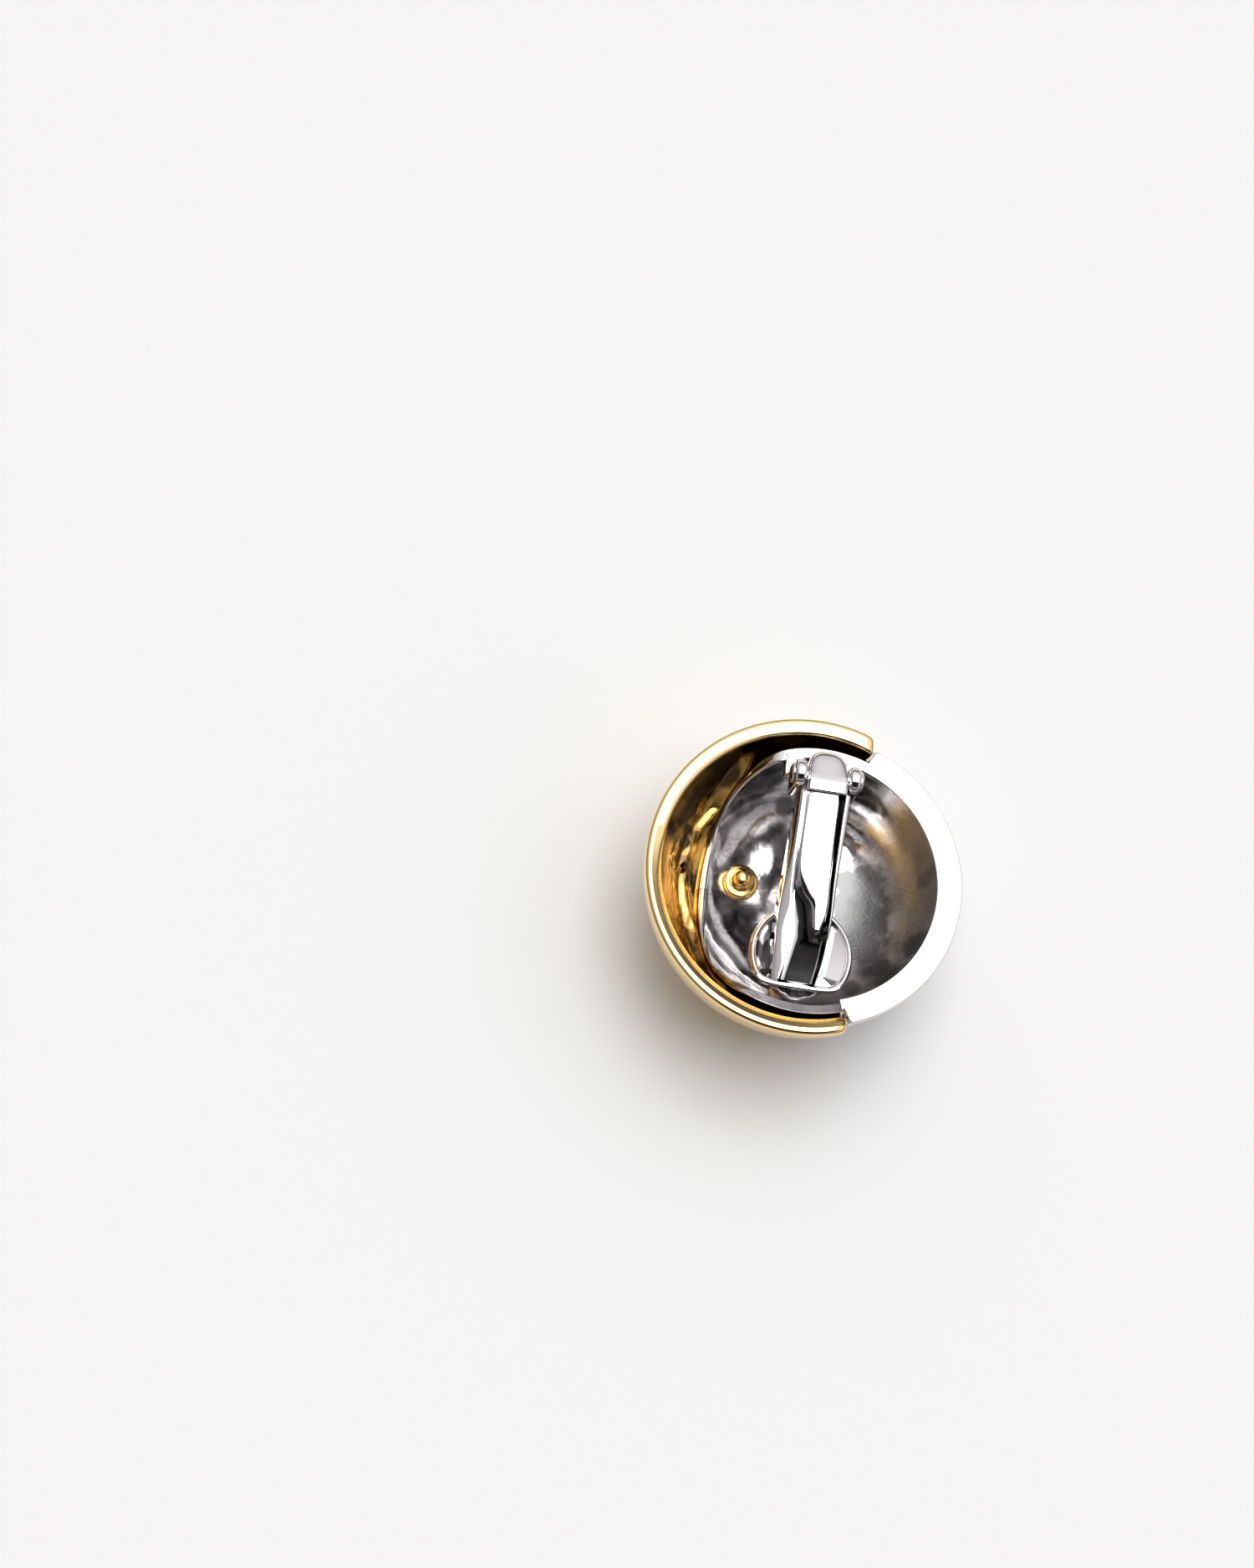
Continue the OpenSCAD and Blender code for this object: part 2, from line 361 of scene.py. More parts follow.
# %% [markdown]
# The silver bowl is thick where it shows and steps down to a thinner ledge under the gold. It
# stops at a slanted end, which shows only through the open back. The same polar rings serve,
# but the outer radius now depends on the direction, and one ring lies right on the seam, so
# that the step is a clean edge and not a row of teeth.

# %% Silver bowl
SILVER_POLE = unit([0.6, 0.0, -0.8])
SILVER_R, SILVER_LIFT = 10.45, np.array([0.0, 0.0, 0.3])
RIM_R = 10.4457
SILVER_FROM = 3.45
SILVER_EDGE = tilted(SILVER_FROM, 15)
SILVER_CORNER = 13
LOW_RIM, LOW_FROM = -0.75, np.array([2.75, -9.0, 0.0])
SILVER_LIP, END_OUTSIDE, END_INSIDE = 0.11, 0.14, 0.36
STEP_SOFT, STEP_BROKEN = 0.012, 0.035
CENTRE = np.zeros(3)


def to_ball(d, centre, radius):
    """Distance from the origin along d to a ball: d.c + sqrt(r^2 - c.c + (d.c)^2)."""
    along = d @ centre
    return along + np.sqrt(radius**2 - centre @ centre + along**2)


def silver_turns():
    """The turns round the pole, and two more close together where the low rim part ends."""
    side = turn_vectors(SILVER_POLE, np.array([0.0, math.pi / 2]))
    end_turn = math.atan2(LOW_FROM @ side[1], LOW_FROM @ side[0]) % (2 * math.pi)
    return np.sort(np.concatenate([TURN, end_turn + np.array([-0.003, 0.003])]))


def silver_skin():
    """Rings over the polished outside, down the step at the seam, along the ledge, round the lip
    and back over the rough hollow. Towards the hidden end the lip is rounder."""
    turn = silver_turns()

    def angle_to(cut, radius):
        return angle_to_cut(CENTRE, radius, SILVER_POLE, turn, cut)

    def edge(radius, height):
        rim = np.zeros((len(turn), 3))
        rim[:, 2] = height
        return nearer(
            angle_to((rim, level(0)[1]), radius), angle_to(HIDDEN_END, radius), SILVER_CORNER
        )

    def outside(angle, ledge):
        d = direction(SILVER_POLE, angle, turn)
        return d * np.where(ledge & stepped, LEDGE_R, to_ball(d, SILVER_LIFT, SILVER_R))[:, None]

    def inside(angle):
        return hollow(direction(SILVER_POLE, angle, turn))

    far = direction(SILVER_POLE, angle_to(level(0), BOWL_R), turn)
    stepped = far[:, 0] * RIM_R < SILVER_FROM
    low = (far[:, 1] < 0) & (far[:, 0] < LOW_FROM[0] / LOW_FROM[1] * far[:, 1])
    r_out = np.where(stepped, LEDGE_R, RIM_R)
    a_out = edge(r_out, np.where(low, LOW_RIM, 0.0))
    a_in = edge(BOWL_R, np.where(low, LOW_RIM - 0.5, 0.0))
    at_end = smooth_step((-3.1 - RIM_R * direction(SILVER_POLE, a_out, turn)[:, 0] * 0.9) / 1.2)
    size_out, size_in = SILVER_LIP + END_OUTSIDE * at_end, SILVER_LIP + END_INSIDE * at_end
    stop_out, stop_in = a_out - size_out / r_out, a_in - size_in / BOWL_R
    a_seam = angle_to((SILVER_EDGE[0], -SILVER_EDGE[1]), SILVER_R)
    a_step = np.where(stepped, np.minimum(a_seam, stop_out - 0.02), stop_out * 0.96)
    rows = [outside(a_step * f, False) for f in steps_between(0, 1, 44)]
    corner = outside(a_step, False)
    rows += [outside(a_step - STEP_SOFT, False), corner - STEP_BROKEN * unit(corner)]
    rows += [outside(a_step, True)]
    rows += [outside(a_step + (stop_out - a_step) * f, True) for f in steps_between(0, 1, 14)]
    lip = rounded_lip(
        outside(stop_out, True), outside(a_out, True), inside(a_in), inside(stop_in),
        size_out[:, None], size_in[:, None],
    )
    inner = np.stack([
        silver_casting(inside(stop_in * f), (a_in - stop_in * f) * BOWL_R)
        for f in steps_between(1, 0, 120)
    ])
    rings = np.concatenate([np.stack(rows), lip, inner])
    ends = SILVER_POLE * to_ball(SILVER_POLE, SILVER_LIFT, SILVER_R), inner[-1].mean(0)
    row = np.arange(len(rings) - 1)[:, None]
    cast = (row >= len(rows) + len(lip) - 1) | ((row >= len(rows)) & low & (a_out > 0))
    return rings, ends, cast


rings, ends, cast_faces = silver_skin()
silver_bowl = skin_of("silver_bowl", rings, *ends, "shell", "silver_plate", cast_faces)
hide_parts("silver_shell")

# %% [markdown]
# Pins, posts, pads and rivet heads are turned shapes. A profile of distance and height is
# carried once round an axis; short curves in the profile break its corners, because no real
# edge is as sharp as a mesh can be, and a broken edge is what catches the light.

# %% Turned pieces
def turned_skin(name, profile, foot, axis, slot, ragged=0.0):
    """Rings: foot + height * axis + distance * (cos, sin) in the two vectors square to the axis.
    The profile starts and ends on the axis. Its last part may be ragged, by noise in height."""
    axis = unit(axis)
    side = unit(np.cross(axis, [0.36, 0.48, 0.8]))
    other = np.cross(axis, side)
    turn = np.linspace(0, 2 * math.pi, 72, endpoint=False)
    wheel = np.cos(turn)[:, None] * side + np.sin(turn)[:, None] * other
    distance, height = np.asarray(profile, float).T
    points = np.asarray(foot) + height[:, None, None] * axis + distance[:, None, None] * wheel
    if ragged:
        late = smooth_step((np.linspace(0, 1, len(points)) - 0.6) / 0.1)[:, None, None]
        points = points + late * ragged * cast_skin(points, 0.7, 5, 3)[..., None] * axis
    return skin_of(name, points[1:-1], points[0].mean(0), points[-1].mean(0), "shell", slot)


def eased(corners, size, steps=5):
    """A polyline with each inner corner replaced by a curve (1-t)^2 P + 2t(1-t) C + t^2 Q."""
    corners = np.asarray(corners, float)
    t = np.linspace(0, 1, steps)[:, None]
    out = [corners[:1]]
    for before, corner, after in zip(corners, corners[1:], corners[2:]):
        reach = [min(size, 0.45 * np.linalg.norm(end - corner)) for end in (before, after)]
        p = corner + reach[0] * unit(before - corner)
        q = corner + reach[1] * unit(after - corner)
        out.append((1 - t) ** 2 * p + 2 * t * (1 - t) * corner + t**2 * q)
    return np.vstack(out + [corners[-1:]])


# %% [markdown]
# The stop pad is a shallow cup of solder and sheet under the paddle; its top is ragged, so noise
# lifts its last rings. The peg is the gold rivet that holds the two shells together: a flange, a
# neck and a round head. The hinge pin is a wire whose ends were hammered over into two heads.

# %% Stop pad, peg and hinge pin
PAD_AT, PEG_AT = (0, -5.4, -2.96), (-3.95, 1.15, -7.0)
UPWARDS, SIDEWAYS = (0, 0, 1), (1, 0, 0)
turned_skin(
    "stop_pad",
    eased([(0, -5), (0.9, -5), (0.9, -0.9), (1.5, -0.72), (2.3, -0.55), (2.5, -0.3), (2.5, 0),
           (2.28, 0.02), (2.1, -0.2), (1.2, -0.28), (0, -0.3)], 0.12),
    PAD_AT, UPWARDS, "silver_plate", ragged=0.3,
)
turned_skin(
    "rivet_peg",
    eased([(0, -2), (1.3, -2), (1.3, 0.2), (1.12, 0.42), (0.7, 0.46), (0.72, 0.62), (0.84, 0.8),
           (0.82, 1.05), (0.64, 1.4), (0.3, 1.58), (0, 1.62)], 0.2),
    PEG_AT, UPWARDS, "gold_plate",
)
hinge = turned_skin(
    "riveted_pin",
    eased([(0, -2.62), (0.4, -2.6), (0.68, -2.48), (0.74, -2.32), (0.45, -2.31), (0.45, 2.31),
           (0.74, 2.32), (0.68, 2.48), (0.4, 2.6), (0, 2.62)], 0.08),
    PIN, SIDEWAYS, "silver_plate",
)
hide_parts("hinge_pin")

# %% [markdown]
# Parts stamped from thick sheet are an outline carried straight through its thickness. Here it
# is drawn in a little at both ends, which rounds the edges as a file would. The points of an
# outline are spread evenly first, so that no edge is shaded by long thin faces.

# %% Stamped plates
def plate_skin(name, outline, low, high, axes, edge, steps=5):
    """Rings: the outline, moved inwards by edge * (1 - sin) while the depth runs by
    edge * (1 - cos), at either end. axes turns (u, v, depth) into x, y, z."""
    ahead, behind = np.roll(outline, -1, 0), np.roll(outline, 1, 0)
    along = unit(ahead - behind)
    inward = np.stack([-along[:, 1], along[:, 0]], -1)
    centre = outline.mean(0)
    inward *= np.sign(np.einsum("ij,ij->i", inward, centre - outline).sum())
    t = np.linspace(0, math.pi / 2, steps)
    move = np.concatenate([edge * (1 - np.sin(t)), edge * (1 - np.sin(t))[::-1]])
    depth = np.concatenate([low + edge * (1 - np.cos(t)), high - edge * (1 - np.cos(t))[::-1]])
    flat = outline + move[:, None, None] * inward
    rings = np.concatenate([flat, np.broadcast_to(depth[:, None, None], flat.shape[:2] + (1,))], -1)
    ends = np.array([[*centre, low], [*centre, high]])
    skin_of(name, rings @ axes, *(ends @ axes), "shell", "silver_plate")


def rounded_box(low, high, corner, steps=8):
    """Outline of a rectangle whose corners are quarter circles, as points in order."""
    x0, y0, x1, y1 = low[0] + corner, low[1] + corner, high[0] - corner, high[1] - corner
    t = np.linspace(0, math.pi / 2, steps)
    out = []
    for k, (x, y) in enumerate([(x1, y1), (x0, y1), (x0, y0), (x1, y0)]):
        a = t + k * math.pi / 2
        out.append(np.stack([x + corner * np.cos(a), y + corner * np.sin(a)], -1))
    return np.vstack(out)


def evenly(outline, count):
    """The same closed outline with count points at equal steps along it."""
    closed = np.vstack([outline, outline[:1]])
    length = np.concatenate([[0], np.cumsum(np.linalg.norm(np.diff(closed, axis=0), axis=1))])
    at = np.linspace(0, length[-1], count, endpoint=False)
    return np.stack([np.interp(at, length, closed[:, k]) for k in (0, 1)], -1)


# %% [markdown]
# The two hinge ears stand on two feet, with a web between them, all soldered to the bowl. The
# plates stand in each other where solder hides the joint. Feet are drawn in plan and carried
# upwards, ears are drawn from the side and carried across.

# %% Feet and ears
def foot(name, low, high, bottom, top):
    """A flat plate between two corners in plan, from bottom to top."""
    plate_skin(name, evenly(rounded_box(low, high, 0.25), 96), bottom, top, np.eye(3), 0.1)


foot("foot_left", (-2.75, 7.15), (-1.46, 8.9), -0.9, -0.03)
foot("foot_right", (1.46, 7.15), (2.35, 8.9), -0.9, -0.03)
foot("foot_web", (-2.3, 7.3), (2.3, 8.45), -1.4, -0.88)
EAR_R, EAR_FOOT = 1.0, -1.0
arc = np.linspace(0, math.pi, 40)
dome = np.stack([PIN[1] + EAR_R * np.cos(arc), PIN[2] + EAR_R * np.sin(arc)], -1)
ear = evenly(np.vstack([dome, [(PIN[1] - EAR_R, EAR_FOOT), (PIN[1] + EAR_R, EAR_FOOT)]]), 96)
YZX = np.array([[0.0, 1.0, 0.0], [0.0, 0.0, 1.0], [1.0, 0.0, 0.0]])
plate_skin("ear_left", ear, -2.3, -1.5, YZX, 0.24, 7)
plate_skin("ear_right", ear, 1.5, 2.3, YZX, 0.24, 7)

# %% [markdown]
# The lever is one stamping. At the hinge it is rolled into a knuckle round the pin, with a
# rounded tongue behind it. Below that it is a channel whose crown is nearly flat near the hinge
# and sinks into a trough towards the end, and there it carries the round paddle. The knuckle is
# a side view carried across, whose round tongue comes from a scale on its length.

# %% Knuckle
KNUCKLE_HALF, TONGUE_FROM = 1.39, 6.9


def curve_near(points, steps, closed=False):
    """Quadratic B-spline along the last axis but one: between the middles of two legs it is
    (1-t)^2/2 A + (1/2 + t - t^2) B + t^2/2 C; an open one starts and ends on its end points."""
    points = np.asarray(points, float)
    first, last = points[..., :1, :], points[..., -1:, :]
    points = np.concatenate([last, points, first] if closed else [first, points, last], -2)
    a, b, c = (points[..., k: points.shape[-2] - 2 + k, None, :] for k in range(3))
    t = np.linspace(0, 1, steps, endpoint=False)[:, None]
    pieces = (1 - t) ** 2 / 2 * a + (0.5 + t - t**2) * b + t**2 / 2 * c
    return pieces.reshape(*points.shape[:-2], -1, points.shape[-1])


def knuckle_skin():
    """A side view of the roll, carried across and a little lower at both sides. Behind the pin
    the length of the tongue is scaled by (1 - (x / w)^2.8)^(1/2), which rounds its plan."""
    side_view = [
        (5.66, 1.1), (5.66, 1.94), (5.75, 2.0), (6.36, 2.1), (6.52, 2.09), (7.5, 1.75), (8.2, 1.51),
        (8.6, 1.34), (8.95, 1.0), (8.9, 0.55), (8.5, 0.3), (7.6, 0.24), (6.9, 0.16), (6.2, 0.45),
        (5.75, 0.8),
    ]
    outline = evenly(curve_near(side_view, 12, closed=True), 150)
    across = KNUCKLE_HALF * np.sin(np.linspace(-math.pi / 2, math.pi / 2, 44))[1:-1]
    edge = smooth_step((KNUCKLE_HALF - np.abs(across)) / 0.16)[:, None]
    tongue = np.sqrt(np.clip(1 - (np.abs(across) / 1.41) ** 2.8, 0, 1))[:, None]
    y = outline[:, 0] - TONGUE_FROM
    y = np.where(y > 0, y * (0.24 + 0.76 * tongue), y)
    z = PIN[2] + (outline[:, 1] - PIN[2]) * (0.86 + 0.14 * edge)
    rings = np.stack([np.broadcast_to(across[:, None], z.shape), TONGUE_FROM + y, z], -1)
    return rings, rings[0].mean(0) - [0.01, 0, 0], rings[-1].mean(0) + [0.01, 0, 0]


knuckle = skin_of("lever_knuckle", *knuckle_skin(), "lever", "silver_plate")
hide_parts("clip_lever")

# %% [markdown]
# Below the knuckle the section of the lever changes all the time. At fourteen stations along it
# guide points give the section: foot of the left wall, outer and inner edge of the left
# shoulder, valley, left of the crown; then the crown's right edge, a dark groove, the narrow
# right strip and the foot of the right wall. They form a net, and one spline rounds it both ways.
# Close stations and a low left side near the end cut the crown off in a point.

# %% Stations of the channel
def right_side(edge, top, strip, outer, drop=0.55):
    """Guide points from the crown's right edge down into the groove, up to the strip, and down."""
    floor = top - drop
    return [
        (edge - 0.25, top), (edge, top), (edge + 0.01, floor), (edge + 0.06, floor - 0.05),
        (strip - 0.04, -0.22), (strip + 0.02, -0.1), (outer - 0.1, -0.13), (outer, -0.28),
        (outer + 0.06, -1.2),
    ]


# y; foot of the left wall; x of its top; shoulder, two points of the valley, crown; right side.
STATIONS = [
    (5.76, (-1.92, -1.65), -1.9, [(-1.44, -0.22), (-1.2, -0.18), (-0.95, -0.14), (-0.6, -0.12)],
     right_side(0.9, -0.12, 1.4, 1.76)),
    (5.25, (-1.93, -1.65), -1.91, [(-1.44, -0.12), (-1.26, -0.08), (-1.1, 0.0), (-0.8, 0.0)],
     right_side(1.0, 0.0, 1.4, 1.76)),
    (3.6, (-1.96, -1.65), -1.94, [(-1.46, -0.1), (-1.28, -0.08), (-1.12, 0.0), (-0.8, 0.0)],
     right_side(1.0, 0.0, 1.38, 1.74)),
    (1.6, (-2.0, -1.65), -1.97, [(-1.5, -0.08), (-1.34, -0.14), (-1.16, 0.0), (-0.85, 0.0)],
     right_side(1.05, 0.0, 1.4, 1.7)),
    (0.0, (-2.06, -1.65), -2.02, [(-1.5, -0.04), (-1.36, -0.34), (-1.16, -0.1), (-0.95, 0.0)],
     right_side(1.14, 0.0, 1.42, 1.68)),
    (-1.1, (-2.12, -1.65), -2.08, [(-1.44, 0.02), (-1.36, -0.48), (-0.82, -0.44), (-0.6, 0.0)],
     right_side(1.2, 0.0, 1.46, 1.68)),
    (-1.7, (-2.15, -1.65), -2.11, [(-1.36, 0.04), (-1.28, -0.54), (-0.14, -0.5), (0.1, 0.0)],
     right_side(1.22, 0.0, 1.5, 1.7)),
    (-2.5, (-2.18, -1.65), -2.13, [(-1.2, 0.05), (-1.12, -0.6), (0.06, -0.56), (0.28, 0.0)],
     right_side(1.16, 0.0, 1.5, 1.7)),
    (-3.1, (-2.18, -1.65), -2.12, [(-1.02, 0.06), (-0.94, -0.64), (0.22, -0.6), (0.42, 0.0)],
     right_side(0.96, 0.0, 1.5, 1.68)),
    (-3.6, (-2.18, -1.65), -2.12, [(-0.92, 0.06), (-0.84, -0.68), (0.36, -0.66), (0.54, 0.0)],
     right_side(0.86, 0.0, 1.5, 1.66)),
    (-3.85, (-2.17, -1.65), -2.1, [(-0.9, 0.06), (-0.82, -0.7), (0.4, -0.7), (0.58, -0.4)],
     right_side(0.9, -0.4, 1.5, 1.64, 0.2)),
    (-4.2, (-2.14, -1.65), -2.08, [(-0.9, 0.06), (-0.82, -0.72), (0.0, -0.74), (0.4, -0.74)],
     right_side(1.3, -0.74, 1.48, 1.6, 0.02)),
    (-5.4, (-2.1, -1.6), -2.04, [(-1.15, 0.04), (-1.07, -0.82), (-0.1, -0.84), (0.4, -0.84)],
     right_side(1.22, -0.84, 1.4, 1.52, 0.02)),
    (-6.96, (-2.06, -1.5), -2.0, [(-1.5, 0.0), (-1.42, -0.9), (-0.2, -0.94), (0.4, -0.94)],
     right_side(0.92, -0.94, 1.1, 1.22, 0.02)),
]
print(len(STATIONS), "stations from y", STATIONS[0][0], "to", STATIONS[-1][0])

# %% [markdown]
# The net serves twice: as it is for the outside of the sheet, and moved inwards and read
# backwards for the inside, so that both together close the section. The black look of the
# groove is half of the piece's character. It is painted shade, so a mask is worked out from the
# same columns as the guide points and kept on the mesh, where the material can read it.

# %% Channel
SLOPE = math.tan(math.radians(14.5))
HINGE_END, HINGE_TOP = 5.6, 1.68
PADDLE_TOP = -2.0
WALL_END = PADDLE_TOP - 0.5
SHEET, INSIDE_WIDTH = 0.4, 0.8
ACROSS, ALONG = 12, 18
CROWN_TIP = (0.69, -3.62)


def guide_points(y, foot, wall, shoulder, right):
    """One station: two points bevel the shoulder's outer edge, wider towards the hinge, and one
    beside the shoulder makes its inner edge crisp."""
    upper = smooth_step((y + 1.2) / 2.4)
    bevel = [(wall, -0.31 - 0.29 * upper), (wall + 0.1 + 0.16 * upper, -0.15 + 0.03 * upper)]
    inner_edge = shoulder[0][0] + 0.03, shoulder[0][1] - 0.05 * (1 - upper)
    guide = [foot, *bevel, shoulder[0], inner_edge, *shoulder[1:], *right]
    return [(x, y, HINGE_TOP + (y - HINGE_END) * SLOPE + z) for x, z in guide]


def channel_skin():
    """The net of outer guide points, and the same net moved inwards by the sheet and reversed;
    the spline runs across it, then along it. No wall goes deeper than the paddle's sheet."""
    outer = np.array([guide_points(*station) for station in STATIONS])
    foot = np.maximum(outer[:, :1, 2], WALL_END)
    outer[..., 2] = np.maximum(outer[..., 2], foot)
    inner = (outer * [INSIDE_WIDTH, 1, 1])[:, ::-1]
    inner[..., 2] = np.maximum(inner[..., 2] - SHEET, foot)
    across = np.concatenate([curve_near(outer, ACROSS), curve_near(inner, 4)], 1)
    return np.swapaxes(curve_near(np.swapaxes(across, 0, 1), ALONG), 0, 1)


def channel_shade_mask(rings):
    """1 where shade is painted: in the groove right of the crown, down the crown's left side, and
    round its tip, outside a parabola. column counts guide points from the left foot."""
    column = np.arange(rings.shape[1]) / ACROSS
    x, y = rings[..., 0], rings[..., 1]
    groove = smooth_step((column - 10 + 1.3 * smooth_step((-4.1 - y) / 0.3)) / 0.3)
    groove = groove * (1 - smooth_step((column - 12.7) / 0.4))
    side = smooth_step((column - 6.1) / 0.3) * (1 - smooth_step((column - 7.15) / 0.3))
    side = side * smooth_step((-0.3 - y) / 0.5) * smooth_step((y + 4.5) / 0.4)
    past = np.sqrt((2.1 * (x - CROWN_TIP[0])) ** 2 + 0.01) - 0.1 - (y - CROWN_TIP[1])
    tip = smooth_step(past / 0.08) * smooth_step((-3.2 - y) / 0.1) * smooth_step((y + 4.5) / 0.4)
    tip = tip * ((column > 6.1) & (column < 12))
    return np.append(np.maximum(np.maximum(groove, side), tip).ravel(), [0, 0])


def mark_shade_mask(piece, mask):
    """One number for each point of the piece: the mask of painted shade, which its material reads
    by name.
    """
    piece.data.attributes.new("painted_shade_mask", "FLOAT", "POINT").data.foreach_set("value", mask)
    print(piece.name, "dirty on", round(100 * float(np.mean(mask > 0.5)), 1), "% of its points")


rings = channel_skin()
ends = rings[0].mean(0), rings[-1].mean(0)
channel = skin_of("lever_channel", rings, *ends, "lever", "silver_plate")
# Painted shade: the mask darkens the groove, the crown's left side and the crown's tip.
mark_shade_mask(channel, channel_shade_mask(rings))

# %% [markdown]
# The paddle is the round plate that presses on the ear lobe. It was struck with the lever, so it
# has a raised rim all round but for its straight end, which is a flat lip. Left of the lever it
# is a dented dish, painted dark in patches as shade, right of the lever a flat facet. Polar rings
# round its middle reach all of it, and the height is a sum of simple forms.

# %% Paddle
PADDLE_MIDDLE, PADDLE_R, PADDLE_CUT, PADDLE_THICK = np.array([0.0, -4.9]), 3.62, 2.42, 0.62
PADDLE_CORNER = 2.6
PADDLE_RIM, DISH_DEEP, FACET_SLOPE = 0.13, 0.5, 0.28
LIP_DROP, EDGE_BROKEN, DENTS = 0.44, 0.16, 0.12


def paddle_skin():
    """Polar rings out to a circle cut straight at the end; inset is the way in from the border.
    The height is a dish with cast noise on the left, a facet that falls to the lever on the
    right, a raised rim, and a drop behind the flat lip of the straight end. The mask is the
    painted shade in patches over the left dish."""
    turn = np.linspace(0, 2 * math.pi, 260, endpoint=False)
    straight = np.where(np.sin(turn) < -0.05, PADDLE_CUT / np.maximum(-np.sin(turn), 0.05), 50.0)
    reach = nearer(np.full_like(turn, PADDLE_R), straight, PADDLE_CORNER)
    out = 1 - (1 - np.linspace(0, 1, 76)[1:]) ** 1.7
    inset = (1 - out[:, None]) * reach
    round_part = smooth_step((np.sin(turn) + 0.62) / 0.2)
    rim = PADDLE_RIM * np.exp(-(((inset - 0.22) / 0.15) ** 2)) * round_part
    wheel = np.stack([np.cos(turn), np.sin(turn)], -1)
    plan = PADDLE_MIDDLE + (out[:, None] * reach)[..., None] * wheel
    x, y = plan[..., 0], plan[..., 1] - PADDLE_MIDDLE[1]
    deep = np.clip((inset - 0.25) / 2.2, 0, 1)
    left = -DISH_DEEP * (1 - (1 - deep) ** 1.2)
    beside = np.sqrt(np.clip(PADDLE_R**2 - y**2, 0, None)) - x
    right = -FACET_SLOPE * np.clip(beside - 0.25, 0, 2.0) * smooth_step((inset - 0.2) / 0.3)
    dish = left + (right - left) * smooth_step((x - 0.6) / 0.8)
    drop = LIP_DROP * np.clip((inset - 0.4) / 0.14, 0, 1) * (1 - round_part)
    dish = np.minimum(dish, -drop)
    bevel = EDGE_BROKEN * (1 - smooth_step(inset / (0.06 + 0.1 * round_part))) ** 2
    spot = np.stack([x, 0.6 * y, 0 * x], -1)
    uneven = DENTS * smooth_step((inset - 0.4) / 0.4) * smooth_step((-1.6 - x) / 0.5)
    z_top = PADDLE_TOP + dish + rim - bevel + uneven * cast_skin(spot, 0.9, 23, 2)
    z_low = PADDLE_TOP - PADDLE_THICK
    upper = np.concatenate([plan, z_top[..., None]], -1)
    under = np.concatenate([plan[::-1], np.full(z_top.shape, z_low)[..., None]], -1)
    patches = smooth_step((cast_skin(spot, 0.6, 41, 2) + 0.5) / 0.5)
    # Painted shade: patches of noise over the left dish.
    painted_shade_mask = patches * smooth_step((inset - 0.36) / 0.16) * smooth_step((-1.0 - x) / 0.5)
    ends = np.array([*PADDLE_MIDDLE, z_top[0].mean()]), np.array([*PADDLE_MIDDLE, z_low])
    mask = np.concatenate([painted_shade_mask.ravel(), np.zeros(painted_shade_mask.size + 2)])
    return np.concatenate([upper, under]), ends, mask


rings, ends, painted_shade_mask = paddle_skin()
paddle = skin_of("lever_paddle", rings, *ends, "lever", "silver_plate")
mark_shade_mask(paddle, painted_shade_mask)

# %% [markdown]
# Shader formulas are easier to read as sums and products than as boxes and lines. A wire holds
# one output socket, and the usual operators add the Math nodes; a recipe holds one material.

# %% Wires and recipes
class Wire:
    """One output socket; arithmetic on it adds Math nodes."""

    def __init__(self, recipe, socket):
        self.recipe, self.socket = recipe, socket

    def _math(self, operation, *inputs):
        return self.recipe.add("ShaderNodeMath", {"operation": operation}, *inputs)

    def __add__(self, other):
        return self._math("ADD", self, other)

    def __sub__(self, other):
        return self._math("SUBTRACT", self, other)

    def __rsub__(self, other):
        return self._math("SUBTRACT", other, self)

    def __mul__(self, other):
        return self._math("MULTIPLY", self, other)

    __radd__ = __add__
    __rmul__ = __mul__

    def stepped(self, low, high):
        """Smooth step of the wire between low and high."""
        settings = {"interpolation_type": "SMOOTHSTEP"}
        return self.recipe.add("ShaderNodeMapRange", settings, self, low, high, 0.0, 1.0)


